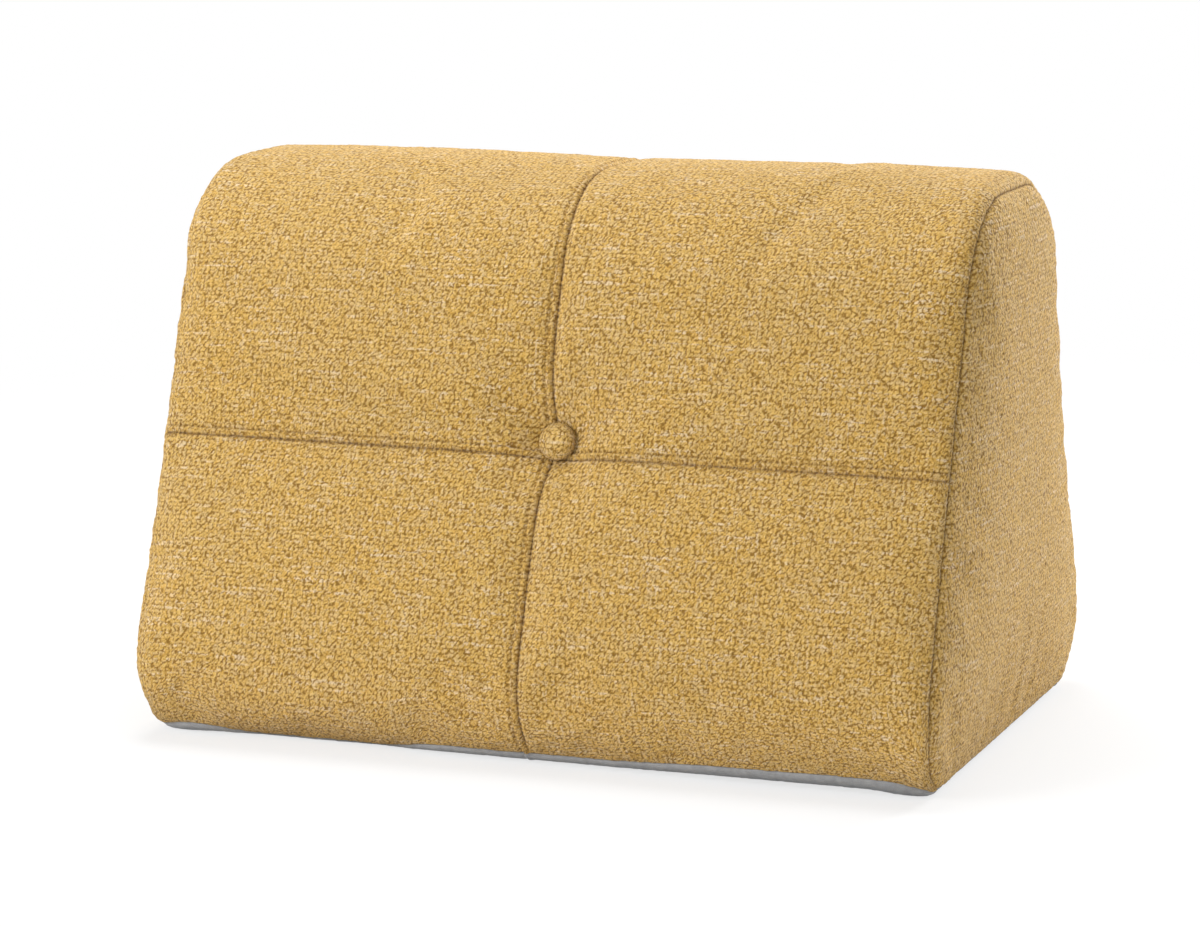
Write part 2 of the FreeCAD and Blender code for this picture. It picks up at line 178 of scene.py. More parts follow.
def skin(a, s, inset):
    """Points of the cover at a across and s round it, drawn in by the inset."""
    y, z, ny, nz = outline(s)
    radius = side_radius(z)
    over = np.clip((np.abs(a) - FLAT_HALF) / SIDE_RADIUS, 0, None)
    flat_half = WIDTH / 2 - radius
    x = np.where(over > 0, flat_half, np.abs(a) * flat_half / FLAT_HALF)
    x = (x + (radius - inset) * np.sin(over)) * np.sign(a)
    drop = radius - (radius - inset) * np.cos(over)
    return np.stack([x, y - ny * drop, z - nz * drop], -1)


def slope_frame(side):
    """Middle of a button's place, with the directions up its slope and out of it."""
    height = CROSS_HEIGHT + BUTTON_RISE
    at = np.array([BUTTON_ACROSS, side * (BASE_DEPTH / 2 - height / math.tan(SLOPE)), height])
    return at, np.array([0, -side * LEAN, RISE]), np.array([0, side * RISE, LEAN])


# ---- the cage: panels as grids that share their seams ----
def stations(marks, step):
    """Evenly divided lengths that hit every mark."""
    out = [marks[0]]
    for low, high in zip(marks, marks[1:]):
        count = max(1, round((high - low) / step))
        out += list(np.linspace(low, high, count + 1)[1:])
    return np.array(out)


def add_grid(bm, points, uvs, panel_of):
    """Grid of quads through points[i, j]; its faces take panel numbers from panel_of(i, j)."""
    rows, cols = points.shape[:2]
    made = bmesh.ops.create_grid(bm, x_segments=cols - 1, y_segments=rows - 1, size=1)["verts"]
    order = sorted(made, key=lambda v: (round((v.co.y + 1) * (rows - 1) / 2), v.co.x))
    uv_layer = bm.loops.layers.uv.verify()
    place = {}
    for n, vert in enumerate(order):
        i, j = divmod(n, cols)
        vert.co = points[i, j]
        place[vert] = (i, j)
    for face in {f for v in made for f in v.link_faces}:
        corners = [place[v] for v in face.verts]
        face.material_index = panel_of(min(c[0] for c in corners), min(c[1] for c in corners))
        face.smooth = True
        for loop, corner in zip(face.loops, corners):
            loop[uv_layer].uv = uvs[corner]


PANELS = ["front_lower_left", "front_lower_right", "upper_left", "upper_right",
          "back_lower_left", "back_lower_right", "back_foot", "side_left", "side_right"]


def build_cage():
    """The cover as one mesh, drawn in by TUCK, with panel numbers and a pattern map in metres."""
    bm = bmesh.new()
    bm.loops.layers.uv.new("cloth")
    low = hem_length(HEM)
    ridge_start = FOOT_ARC + SLOPE_LINE
    half = [low, ALL_ROUND - ZIP_LINE - SLOT_HALF, ALL_ROUND - ZIP_LINE, ALL_ROUND - ZIP_LINE + SLOT_HALF,
            CROSS_FRONT, ridge_start]
    round_it = stations(half + [ALL_ROUND - m for m in reversed(half)], STEP)
    across = stations([-ACROSS, -FLAT_HALF, -ZIP_HALF, 0, ZIP_HALF, FLAT_HALF, ACROSS], STEP)
    a, s = np.meshgrid(across, round_it)
    hem = hem_length(hem_height(a))
    near_front = 1 - smooth(s, low, low + 0.09)
    near_back = smooth(s, ALL_ROUND - low - 0.09, ALL_ROUND - low)
    moved = s + (hem - low) * near_front - (hem - low) * near_back
    inset = TUCK * (1 - near_zip(a, s))
    wrap = skin(a, moved, inset - (inset + HEM_OVER) * near_hem(moved))
    for side in (FRONT, BACK):
        away = wrap - slope_frame(side)[0]
        wrap[..., 0] += BUTTON_PULL * np.exp(-(away ** 2).sum(-1) / (2 * 0.030 ** 2))
    cuts = [CROSS_FRONT, CROSS_BACK, ZIP_LINE]
    numbers = [[0, 1], [2, 3], [4, 5], [6, 6]]

    def wrap_panel(i, j):
        level = sum(round_it[i] > c - STEP / 4 for c in cuts)
        return numbers[level][int(across[j] > -STEP / 4)]

    add_grid(bm, wrap, np.stack([a, s], -1), wrap_panel)
    rows = np.where((round_it > 0) & (round_it <= ridge_start + STEP / 4))[0]
    top = np.where((round_it >= ridge_start - STEP / 4) & (round_it <= ALL_ROUND - ridge_start + STEP / 4))[0]
    for side, column, number in ((-1, 0, 7), (1, -1, 8)):
        edge = wrap[:, column]
        front, back = edge[rows], edge[::-1][rows]
        crown = edge[top]
        if side < 0:
            grid = side_grid(back[:, 1:], front[:, 1:], crown[::-1][:, 1:])
        else:
            grid = side_grid(front[:, 1:], back[:, 1:], crown[:, 1:])
        points = side_points(grid, edge[:, 1:], side)
        points[:, 0] = back if side < 0 else front
        points[:, -1] = front if side < 0 else back
        points[-1] = crown[::-1] if side < 0 else crown
        uvs = np.stack([grid[..., 0] * side, grid[..., 1]], -1)
        add_grid(bm, points, uvs, lambda i, j, n=number: n)
    gap = [f for f in bm.faces if in_slot([loop[bm.loops.layers.uv.verify()].uv for loop in f.loops], f)]
    bmesh.ops.delete(bm, geom=gap, context="FACES")
    bmesh.ops.remove_doubles(bm, verts=bm.verts[:], dist=STEP / 50)
    for vert in bm.verts:
        low_down = 1 - float(smooth(vert.co.z, 0.0, 0.075))
        outer = float(smooth(abs(vert.co.x), WIDTH / 2 - 0.13, WIDTH / 2))
        vert.co.x -= math.copysign(FLOOR_TUCK * low_down * outer, vert.co.x)
    bmesh.ops.recalc_face_normals(bm, faces=bm.faces[:])
    return bm


def in_slot(uvs, face):
    """Whether a face lies in the gap that the zip closes."""
    a, s = sum(uv.x for uv in uvs) / len(uvs), sum(uv.y for uv in uvs) / len(uvs)
    return face.material_index < 7 and abs(s - ZIP_LINE) < SLOT_HALF and abs(a) < ZIP_HALF


def side_grid(first, last, top):
    """Even grid inside a side panel, from its two upright edges and its top edge."""
    u = np.linspace(0, 1, len(top))[None, :, None]
    v = np.linspace(0, 1, len(first))[:, None, None]
    foot = first[0] * (1 - u) + last[0] * u
    sides = first[:, None] * (1 - u) + last[:, None] * u
    crown = first[-1] * (1 - u) + last[-1] * u
    grid = sides + (top[None] - crown) * v
    grid[0], grid[-1], grid[:, 0], grid[:, -1] = foot[0], top, first, last
    for _ in range(3000):
        inner = grid[:-2, 1:-1] + grid[2:, 1:-1] + grid[1:-1, :-2] + grid[1:-1, 2:]
        grid[1:-1, 1:-1] = inner / 4
    return grid


def side_points(grid, edge, side):
    """Lift a side panel's grid to the side face, rounded towards its seam."""
    tree = KDTree(4 * (len(edge) - 1))
    count = 0
    for p, q in zip(edge, edge[1:]):
        for k in range(4):
            m = p + (q - p) * k / 4
            tree.insert((0, m[0], m[1]), count)
            count += 1
    tree.balance()
    points = np.zeros(grid.shape[:2] + (3,))
    for i, row in enumerate(grid):
        for j, (y, z) in enumerate(row):
            from_seam = tree.find((0, y, z))[2]
            radius = side_radius(z)
            reach = max((radius - TUCK) * math.sin(SEAM_TURN) - from_seam, 0)
            lift = math.sqrt((radius - TUCK) ** 2 - reach ** 2)
            points[i, j] = (side * (WIDTH / 2 - radius + lift), y, z)
    return points


def mesh_object(name, bm):
    mesh = bpy.data.meshes.new(name)
    bm.to_mesh(mesh)
    bm.free()
    piece = bpy.data.objects.new(name, mesh)
    bpy.context.scene.collection.objects.link(piece)
    return piece


def applied(piece):
    """Replace a piece's mesh with the one its modifiers make."""
    graph = bpy.context.evaluated_depsgraph_get()
    mesh = bpy.data.meshes.new_from_object(piece.evaluated_get(graph), depsgraph=graph)
    piece.modifiers.clear()
    piece.data = mesh
    return piece


def coordinates(mesh):
    co = np.zeros(len(mesh.vertices) * 3)
    mesh.vertices.foreach_get("co", co)
    return co.reshape(-1, 3)


def set_coordinates(mesh, co):
    mesh.vertices.foreach_set("co", np.ascontiguousarray(co).reshape(-1))
    mesh.update()


def normals(mesh):
    no = np.zeros(len(mesh.vertices) * 3)
    mesh.vertex_normals.foreach_get("vector", no)
    return no.reshape(-1, 3)


# ---- shape that the seams, buttons and creases give ----
# Folds round a button: direction in degrees, depth and length.
FOLDS = ((150, 0.0060, 0.060), (172, 0.0030, 0.040), (196, 0.0016, 0.030), (28, 0.0018, 0.035), (-25, 0.0012, 0.030))


def dimple(co):
    """Depth that the two buttons pull each point in by."""
    depth = np.zeros(len(co))
    for side in (FRONT, BACK):
        at, up, out = slope_frame(side)
        away = co - at
        across, along = away[:, 0], away @ up
        near = np.abs(away @ out) < 0.06
        far = np.sqrt(across ** 2 + along ** 2)
        rim = np.clip(far - BUTTON_RADIUS * 0.9, 0, None)
        bowl = 1 / (1 + (rim / 0.017) ** 1.7)
        depth += near * (DIMPLE_DEPTH - TUCK) * bowl
    return depth


def folds(co):
    """Depth of the folds that run out from the buttons."""
    depth = np.zeros(len(co))
    for side in (FRONT, BACK):
        at, up, out = slope_frame(side)
        away = co - at
        across, along = away[:, 0], away @ up
        near = np.abs(away @ out) < 0.06
        for degrees, deep, reach in FOLDS:
            turn = math.radians(degrees)
            forward = across * math.cos(turn) + along * math.sin(turn)
            beside = along * math.cos(turn) - across * math.sin(turn)
            wide = 0.006 + 0.10 * np.clip(forward, 0, None)
            fold = smooth(forward, 0.004, 0.016) * np.exp(-(forward / reach) ** 2 - (beside / wide) ** 2)
            depth += near * deep * fold
    return depth


def crease(a, s):
    """Long soft fold across the upper left of the front, from the side edge to the button."""
    above = s - CROSS_FRONT
    line = 0.022 + 0.030 * smooth(-a, 0.02, 0.30)
    fade = smooth(-a, 0.025, 0.080) * (1 - 0.55 * smooth(-a, 0.12, 0.32))
    valley = np.exp(-((above - line) / 0.010) ** 2)
    swollen = np.exp(-((above - line - 0.022) / 0.016) ** 2)
    return fade * (0.0040 * valley - 0.0022 * swollen)


def seam_vertices(mesh):
    """Vertices on a seam, at the hem or beside the zip."""
    panel = {}
    for face in mesh.polygons:
        for v in face.vertices:
            panel.setdefault(v, set()).add(face.material_index)
    uses = {}
    for face in mesh.polygons:
        for key in face.edge_keys:
            uses[key] = uses.get(key, 0) + 1
    held = {v for v, kinds in panel.items() if len(kinds) > 1}
    held |= {v for key, n in uses.items() if n == 1 for v in key}
    return sorted(held)


def under_buttons(mesh):
    """Vertices that the buttons hold down."""
    co = coordinates(mesh)
    held = set()
    for side in (FRONT, BACK):
        away = np.linalg.norm(co - slope_frame(side)[0], axis=1)
        held |= set(np.where(away < DIMPLE_DEPTH + 0.004)[0].tolist())
    return sorted(held)


def swell(piece):
    """Blow the cover up a little between its seams, as its filling does."""
    scene = bpy.context.scene
    start = coordinates(piece.data)
    pins = piece.vertex_groups.new(name="pins")
    pins.add(seam_vertices(piece.data), 1.0, "ADD")
    pins.add(under_buttons(piece.data), 1.0, "REPLACE")
    cloth = piece.modifiers.new("cloth", "CLOTH")
    settings = cloth.settings
    settings.quality = 6
    settings.mass = 0.4
    settings.tension_stiffness = 18
    settings.compression_stiffness = 14
    settings.shear_stiffness = 8
    settings.bending_stiffness = 4
    settings.vertex_group_mass = "pins"
    settings.use_pressure = True
    settings.uniform_pressure_force = 5
    settings.shrink_min = -0.008
    settings.effector_weights.gravity = 0
    cloth.collision_settings.use_collision = False
    frames = 20
    cloth.point_cache.frame_start = 1
    cloth.point_cache.frame_end = frames
    for number in range(1, frames + 1):
        scene.frame_set(number)
    applied(piece)
    scene.frame_set(1)
    moved = coordinates(piece.data) - start
    length = np.linalg.norm(moved, axis=1)
    print("swell mm: mean %.1f max %.1f" % (length.mean() * 1000, length.max() * 1000))
    limit = LIMIT + (SIDE_LIMIT - LIMIT) * smooth(np.abs(normals(piece.data)[:, 0]), 0.6, 0.95)
    scale = limit * np.tanh(length / limit) / np.maximum(length, 1e-9)
    set_coordinates(piece.data, start + moved * scale[:, None])


def panel_distance(mesh):
    """Distance of every vertex from the nearest seam."""
    held = seam_vertices(mesh)
    co = coordinates(mesh)
    tree = KDTree(len(held))
    for n, v in enumerate(held):
        tree.insert(co[v], n)
    tree.balance()
    return np.array([tree.find(p)[2] for p in co])


# ---- shader language ----
class Value:
    """A shader socket that takes part in Python arithmetic."""

    def __init__(self, tree, socket):
        self.tree, self.socket = tree, socket

    def _maths(self, operation, *values):
        node = self.tree.nodes.new("ShaderNodeMath")
        node.operation = operation
        for slot_in, value in zip(node.inputs, values):
            put(self.tree, slot_in, value)
        return Value(self.tree, node.outputs[0])

    def __add__(self, other): return self._maths("ADD", self, other)
    def __radd__(self, other): return self._maths("ADD", other, self)
    def __sub__(self, other): return self._maths("SUBTRACT", self, other)
    def __rsub__(self, other): return self._maths("SUBTRACT", other, self)
    def __mul__(self, other): return self._maths("MULTIPLY", self, other)
    def __rmul__(self, other): return self._maths("MULTIPLY", other, self)
    def __truediv__(self, other): return self._maths("DIVIDE", self, other)
    def __pow__(self, other): return self._maths("POWER", self, other)
    def absolute(self): return self._maths("ABSOLUTE", self)
    def sine(self): return self._maths("SINE", self)
    def least(self, other): return self._maths("MINIMUM", self, other)
    def most(self, other): return self._maths("MAXIMUM", self, other)


def put(tree, socket, value):
    if isinstance(value, Value):
        tree.links.new(value.socket, socket)
    elif value is not None:
        socket.default_value = value


class Finish:
    """A material and its nodes."""

    def __init__(self, name):
        self.material = bpy.data.materials.new(name)
        self.material.use_nodes = True
        self.tree = self.material.node_tree
        self.shader = self.tree.nodes["Principled BSDF"]

    def node(self, kind, settings=None, inputs=None, output=0):
        node = self.tree.nodes.new("ShaderNode" + kind)
        for name, value in (settings or {}).items():
            setattr(node, name, value)
        for name, value in (inputs or {}).items():
            put(self.tree, node.inputs[name], value)
        return Value(self.tree, node.outputs[output])

    def cloth_map(self):
        return self.node("UVMap", {"uv_map": "cloth"})

    def place(self):
        return self.node("TexCoord", output="Object")

    def stretch(self, vector, scale, shift=(0, 0, 0)):
        return self.node("Mapping", None, {"Vector": vector, "Scale": scale, "Location": shift})

    def noise(self, vector, scale, detail=2.0, rough=0.5):
        return self.node("TexNoise", None, {"Vector": vector, "Scale": scale, "Detail": detail, "Roughness": rough})

    def band(self, value, low, high, to_low=0.0, to_high=1.0):
        """Smooth step of a value from low to high."""
        inputs = {"Value": value, "From Min": low, "From Max": high, "To Min": to_low, "To Max": to_high}
        return self.node("MapRange", {"interpolation_type": "SMOOTHSTEP"}, inputs)

    def blend(self, factor, first, second):
        """Mix of two colours."""
        settings = {"data_type": "RGBA", "clamp_factor": True}
        return self.node("Mix", settings, {0: factor, 6: first, 7: second}, output=2)

    def bump(self, height, distance, strength=1.0, normal=None):
        inputs = {"Height": height, "Distance": distance, "Strength": strength, "Normal": normal}
        return self.node("Bump", None, inputs)

    def set(self, **sockets):
        for name, value in sockets.items():
            put(self.tree, self.shader.inputs[name.replace("_", " ")], value)
        return self.material


def rgb(r, g, b):
    return (r, g, b, 1.0)


# ---- boucle cloth ----
WEFT = 0.0035            # pitch of the cloth's rows
WARP = 0.0042            # and of its columns


def leaning_loops(f, where, width, length, lean):
    """Distance from the middles of yarn loops that all lean one way."""
    settings = {"vector_type": "TEXTURE"}
    turned = f.node("Mapping", settings, {"Vector": where, "Rotation": (0, 0, lean), "Scale": (length, width, 1)})
    settings = {"feature": "SMOOTH_F1", "voronoi_dimensions": "2D"}
    inputs = {"Vector": turned, "Scale": 1.0, "Smoothness": 0.15, "Randomness": 0.8}
    return f.node("TexVoronoi", settings, inputs, output="Distance")


def boucle(name):
    """Ochre boucle: leaning loops on a plain weave, painted shade in the gaps and painted highlight on the loop
    tops, heathered yarn, broken pale slubs both ways.
    """
    f = Finish(name)
    cloth = f.cloth_map()
    drift = f.noise(cloth, 260.0, 2.0, 0.6)
    drift_up = f.noise(f.stretch(cloth, (1, 1, 1), (0.31, 0.17, 0)), 260.0, 2.0, 0.6)
    wander = f.node("CombineXYZ", None, {0: (drift - 0.5) * 0.0042, 1: (drift_up - 0.5) * 0.0034})
    bent = f.node("VectorMath", {"operation": "ADD"}, {0: cloth, 1: wander})
    across = f.node("SeparateXYZ", None, {0: bent}, output=0)
    along = f.node("SeparateXYZ", None, {0: bent}, output=1)
    weave = ((across * (math.pi / WARP)).sine() * (along * (math.pi / WEFT)).sine()).absolute() ** 0.5
    big = leaning_loops(f, bent, 0.0021, 0.0038, math.radians(50))
    small = leaning_loops(f, bent, 0.00135, 0.0024, math.radians(62))
    fibre = f.noise(cloth, 1300.0, 2.0, 0.6)
    height = (1 - big) * 0.60 + weave * 0.20 + (1 - small) * 0.40 + (fibre - 0.5) * 0.35
    settings = {"feature": "F1", "voronoi_dimensions": "2D"}
    tint = f.node("TexVoronoi", settings, {"Vector": bent, "Scale": 340.0, "Randomness": 0.9}, output="Color")
    red, green, blue = [f.node("SeparateColor", None, {"Color": tint}, output=n) for n in range(3)]
    weft = f.noise(f.stretch(cloth, (14, 290, 1)), 1.0, 2.0, 0.65)
    warp = f.noise(f.stretch(cloth, (290, 22, 1)), 1.0, 2.0, 0.65)
    pale_weft = f.band(weft + (red - 0.5) * 0.26, 0.60, 0.74)
    pale_warp = f.band(warp + (green - 0.5) * 0.26, 0.64, 0.78)
    heather = f.noise(cloth, 60.0, 3.0, 0.6)
    broad = f.noise(cloth, 7.0, 2.0)
    body = f.blend(red, rgb(0.62, 0.355, 0.065), rgb(0.74, 0.475, 0.135))
    body = f.blend(green * 0.5, body, rgb(0.54, 0.345, 0.095))
    body = f.blend(f.band(heather + (blue - 0.5) * 0.6, 0.50, 0.74) * 0.42, body, rgb(0.61, 0.45, 0.245))
    # painted highlight: the loop tops, where the height is greatest, are lightened
    body = f.blend(f.band(height, 0.80, 1.02) * 0.5, body, rgb(0.86, 0.65, 0.300))
    body = f.blend(pale_weft.most(pale_warp * 0.8) * 0.55, body, rgb(0.82, 0.68, 0.51))
    body = f.blend(f.band(broad, 0.35, 0.7) * 0.2, body, rgb(0.62, 0.43, 0.17))
    # painted shade: the low gaps between the loops are darkened
    body = f.blend(f.band(height, 0.46, 0.80), rgb(0.26, 0.135, 0.022), body)
    # painted shade along the seam creases and in the needle holes, read from the attribute that sew() stores
    painted_seam_shade = f.node("Attribute", {"attribute_name": "painted_seam_shade"}, output=2)
    body = f.blend(painted_seam_shade * 0.72, body, rgb(0.17, 0.085, 0.018))
    return f.set(Base_Color=body, Roughness=0.93, Sheen_Weight=0.14, Sheen_Roughness=0.5,
                 Normal=f.bump(height, 0.0021, 0.9), Specular_IOR_Level=0.15)


def plain_weave(name, colour, shade, pitch, roughness=0.9, depth=0.0004):
    """Fine plain cloth on object coordinates."""
    f = Finish(name)
    place = f.place()
    x = f.node("SeparateXYZ", None, {0: place}, output=0)
    y = f.node("SeparateXYZ", None, {0: place}, output=1)
    z = f.node("SeparateXYZ", None, {0: place}, output=2)
    turn = 2 * math.pi / pitch
    thread = (x * turn).sine() * ((y + z) * turn).sine()
    mottle = f.noise(place, 900.0, 2.0)
    face = thread * 0.5 + 0.5
    colour_out = f.blend(face * 0.6 + mottle * 0.4, shade, colour)
    return f.set(Base_Color=colour_out, Roughness=roughness, Sheen_Weight=0.1,
                 Normal=f.bump(face + mottle * 0.5, depth, 0.5))


def felted(name, colour, shade, scale, roughness=0.95):
    """Matted fibres: base cloth, lining, wadding."""
    f = Finish(name)
    place = f.place()
    fibres = f.noise(f.stretch(place, (1, 1, 2.2)), scale, 4.0, 0.7)
    clumps = f.noise(place, scale / 9, 2.0)
    shade_by = f.band(fibres * 0.7 + clumps * 0.3, 0.38, 0.62)
    return f.set(Base_Color=f.blend(shade_by, shade, colour), Roughness=roughness,
                 Normal=f.bump(fibres, 0.0005, 0.6))


def foam(name):
    f = Finish(name)
    cells = f.node("TexVoronoi", {"feature": "F1"}, {"Vector": f.place(), "Scale": 900.0}, output="Distance")
    shade_by = f.band(cells, 0.1, 0.6)
    return f.set(Base_Color=f.blend(shade_by, rgb(0.70, 0.64, 0.46), rgb(0.88, 0.84, 0.70)),
                 Roughness=0.9, Normal=f.bump(cells, 0.0004, 0.6))


def metal(name, colour, worn, roughness=0.35):
    """Coated or bare metal with fine scuffs."""
    f = Finish(name)
    scuff = f.noise(f.stretch(f.place(), (1, 6, 1)), 700.0, 3.0, 0.6)
    wear = f.band(scuff, 0.52, 0.68)
    return f.set(Base_Color=f.blend(wear * 0.5, colour, worn), Metallic=1.0,
                 Roughness=wear * 0.2 + roughness, Normal=f.bump(scuff, 0.00005, 0.4))


def nylon(name):
    f = Finish(name)
    ribs = f.noise(f.place(), 1200.0, 2.0)
    return f.set(Base_Color=f.blend(ribs, rgb(0.36, 0.22, 0.06), rgb(0.52, 0.34, 0.12)),
                 Roughness=ribs * 0.15 + 0.38, Normal=f.bump(ribs, 0.00005, 0.3))


def twisted(name, colour, shade):
    """Thread or twine: fine plies that catch the light."""
    f = Finish(name)
    plies = f.noise(f.stretch(f.place(), (1, 1, 1)), 2600.0, 2.0)
    return f.set(Base_Color=f.blend(plies, shade, colour), Roughness=0.7, Sheen_Weight=0.2,
                 Normal=f.bump(plies, 0.00015, 0.7))


# ---- cover panels ----
LIP = 0.0023             # how deep a panel's edge rolls into its seam
LIP_REACH = 0.0024
TURN_UNDER = 0.0030      # seam allowance that shows inside the seam
FELL = 0.0062            # width of the felled allowance, from seam to topstitch
FINE = 0.0100            # the mesh is finer within this distance of a seam
STITCH = 0.0052          # from one needle hole to the next
THREAD = 0.00042         # thread's radius


def refine(whole):
    """Finer mesh beside the seams."""
    bm = bmesh.new()
    bm.from_mesh(whole.data)
    away = panel_distance(whole.data)
    bm.verts.ensure_lookup_table()
    near = [e for e in bm.edges if max(away[v.index] for v in e.verts) < FINE]
    bmesh.ops.subdivide_edges(bm, edges=near, cuts=1, use_grid_fill=True)
    bm.to_mesh(whole.data)
    bm.free()


def cloth_places(mesh):
    """Pattern coordinates and panel number of every vertex."""
    corner = np.zeros(len(mesh.loops), int)
    mesh.loops.foreach_get("vertex_index", corner)
    uv = np.zeros(len(mesh.loops) * 2)
    mesh.uv_layers["cloth"].data.foreach_get("uv", uv)
    panel = np.zeros(len(mesh.polygons), int)
    mesh.polygons.foreach_get("material_index", panel)
    size = np.zeros(len(mesh.polygons), int)
    mesh.polygons.foreach_get("loop_total", size)
    kind = np.repeat(panel, size)
    order = np.argsort(-kind, kind="stable")
    places = np.zeros((len(mesh.vertices), 2))
    panels = np.zeros(len(mesh.vertices), int)
    places[corner[order]] = uv.reshape(-1, 2)[order]
    panels[corner[order]] = kind[order]
    return places, panels


def knots(co, pitch):
    """Smooth random field over space, from -1 to 1, with lumps of about the pitch."""
    cell = np.floor(co / pitch).astype(np.int64)
    part = co / pitch - cell
    part = part * part * (3 - 2 * part)
    total = np.zeros(len(co))
    for corner in range(8):
        bits = np.array([corner & 1, corner >> 1 & 1, corner >> 2])
        at = cell + bits
        number = (at[:, 0] * 73856093) ^ (at[:, 1] * 19349663) ^ (at[:, 2] * 83492791)
        number = (number * 2654435761) & 0xFFFFFFFF
        number = ((number >> 15) ^ number) * 2246822519 & 0xFFFFFFFF
        value = (number >> 8 & 0xFFFF) / 32767.5 - 1
        total += value * np.prod(np.where(bits, part, 1 - part), axis=1)
    return total


def fell(distance):
    """Height of the felled allowance at a distance from its seam, with the topstitch's groove beyond it."""
    band = smooth(distance, 0.0003, 0.0022) * (1 - smooth(distance, FELL - 0.0022, FELL - 0.0004))
    groove = np.exp(-((distance - FELL) / 0.0011) ** 2)
    return 0.0010 * band - 0.0010 * groove


def stitch_holes(along):
    """1 where the needle went in and 0 between."""
    return (0.5 + 0.5 * np.cos(along * 2 * math.pi / STITCH)) ** 2


def sew(whole):
    """Roll the panels into their seams, raise the felled allowances, prick the stitches and roughen the boucle."""
    mesh = whole.data
    co, no = coordinates(mesh), normals(mesh)
    places, panels = cloth_places(mesh)
    a, s = places.T
    away = panel_distance(mesh)
    wrap = panels < 7
    flat = near_zip(a, s) * wrap
    hem = near_hem(s) * wrap
    cross = np.where(s < HALF_ROUND, s - CROSS_FRONT, CROSS_BACK - s)
    run = np.where(np.abs(cross) < np.minimum(np.abs(a), ACROSS - np.abs(a)), a, s)
    run = np.where(wrap, run, co[:, 2])
    holes = stitch_holes(run)
    lip = LIP * (1 - 0.75 * flat) * (1 - 0.7 * hem)
    rise = -lip * (0.85 + 0.30 * holes) * np.exp(-(away / LIP_REACH) ** 1.3)
    inner = wrap & (np.abs(a) < ACROSS - 0.004)
    over_cross = np.where(inner & (cross > 0), cross, 1)
    left_of_middle = np.where(inner & (a < 0), -a, 1)
    rise += fell(over_cross) + fell(left_of_middle)
    pricked = np.exp(-((over_cross - FELL) / 0.0012) ** 2) + np.exp(-((left_of_middle - FELL) / 0.0012) ** 2)
    pricked *= holes * smooth(away, 0.0015, 0.0035)
    rise -= 0.0008 * pricked
    coarse = np.where(wrap, 0.00036, 0.00060)
    loops = coarse * knots(co, 0.0042) + 0.5 * coarse * knots(co + 0.5, 0.0026)
    rise += loops * (1 - 0.6 * flat)
    set_coordinates(mesh, co + no * rise[:, None])
    # painted shade: darkness along the seam creases and in the needle holes, stored for the boucle's colour
    faint = 1 - 0.40 * (np.abs(cross) < 0.004) * smooth(a, 0.02, 0.08)
    dark = np.exp(-(away / 0.0013) ** 2) * (0.45 + 0.55 * holes) * (1 - flat) * (1 - hem) * faint
    painted_seam_shade = mesh.attributes.new("painted_seam_shade", "FLOAT", "POINT")
    painted_seam_shade.data.foreach_set("value", np.clip(dark + 0.8 * pricked * (1 - hem), 0, 1))


def cloth_points(mesh):
    """Finds the cover's point and normal at pattern coordinates."""
    places, panels = cloth_places(mesh)
    co, no = coordinates(mesh), normals(mesh)
    wrap = np.where((panels < 7) & (panel_distance(mesh) < FELL + 0.004))[0]
    tree = KDTree(len(wrap))
    for v in wrap:
        tree.insert((places[v][0], places[v][1], 0), v)
    tree.balance()

    def find(a, s):
        found = [v for _, v, _ in tree.find_n((a, s, 0), 3)]
        return Vector(co[found].mean(0)), Vector(no[found].mean(0)).normalized()

    return find


def topstitching(whole):
    """Short stitches along the felled seams, each one lying from one needle hole to the next."""
    find = cloth_points(whole.data)
    bm = bmesh.new()
    low, high = hem_length(HEM) + 0.012, ALL_ROUND - ZIP_LINE - SLOT_HALF - 0.006
    upright = np.arange(math.ceil(low / STITCH), (ALL_ROUND - high) / STITCH)
    level = np.arange(math.ceil((0.008 - ACROSS) / STITCH), (ACROSS - 0.008) / STITCH)
    rows = [((-FELL, n * STITCH), (-FELL, (n + 1) * STITCH)) for n in upright]
    for line in (CROSS_FRONT + FELL, CROSS_BACK - FELL):
        rows += [((n * STITCH, line), ((n + 1) * STITCH, line)) for n in level]
    for first, last in rows:
        start, out = find(*first)
        end = find(*last)[0]
        along = end - start
        near_button = min((start - Vector(slope_frame(side)[0])).length for side in (FRONT, BACK))
        if near_button < 0.024 or not 0.5 * STITCH < along.length < 1.6 * STITCH:
            continue
        beside = out.cross(along).normalized()
        axes = Matrix((along * 0.41, beside * THREAD, out * THREAD * 0.9)).transposed().to_4x4()
        place = Matrix.Translation((start + end) / 2 + out * 0.0001) @ axes
        bmesh.ops.create_uvsphere(bm, u_segments=6, v_segments=4, radius=1, matrix=place)
    for face in bm.faces:
        face.smooth = True
    bmesh.ops.recalc_face_normals(bm, faces=bm.faces[:])
    return mesh_object("topstitching", bm)


def part_of(whole, number, name):
    """One panel of the cover as its own piece, its allowance turned under."""
    bm = bmesh.new()
    bm.from_mesh(whole.data)
    inward = bm.verts.layers.float_vector["inward"]
    others = [f for f in bm.faces if f.material_index != number]
    bmesh.ops.delete(bm, geom=others, context="FACES")
    edges = [e for e in bm.edges if e.is_boundary]
    out = bmesh.ops.extrude_edge_only(bm, edges=edges)["geom"]
    for vert in out:
        if isinstance(vert, bmesh.types.BMVert):
            vert.co += Vector(vert[inward]) * TURN_UNDER
    for face in bm.faces:
        face.material_index = 0
        face.smooth = True
    return mesh_object(name, bm)


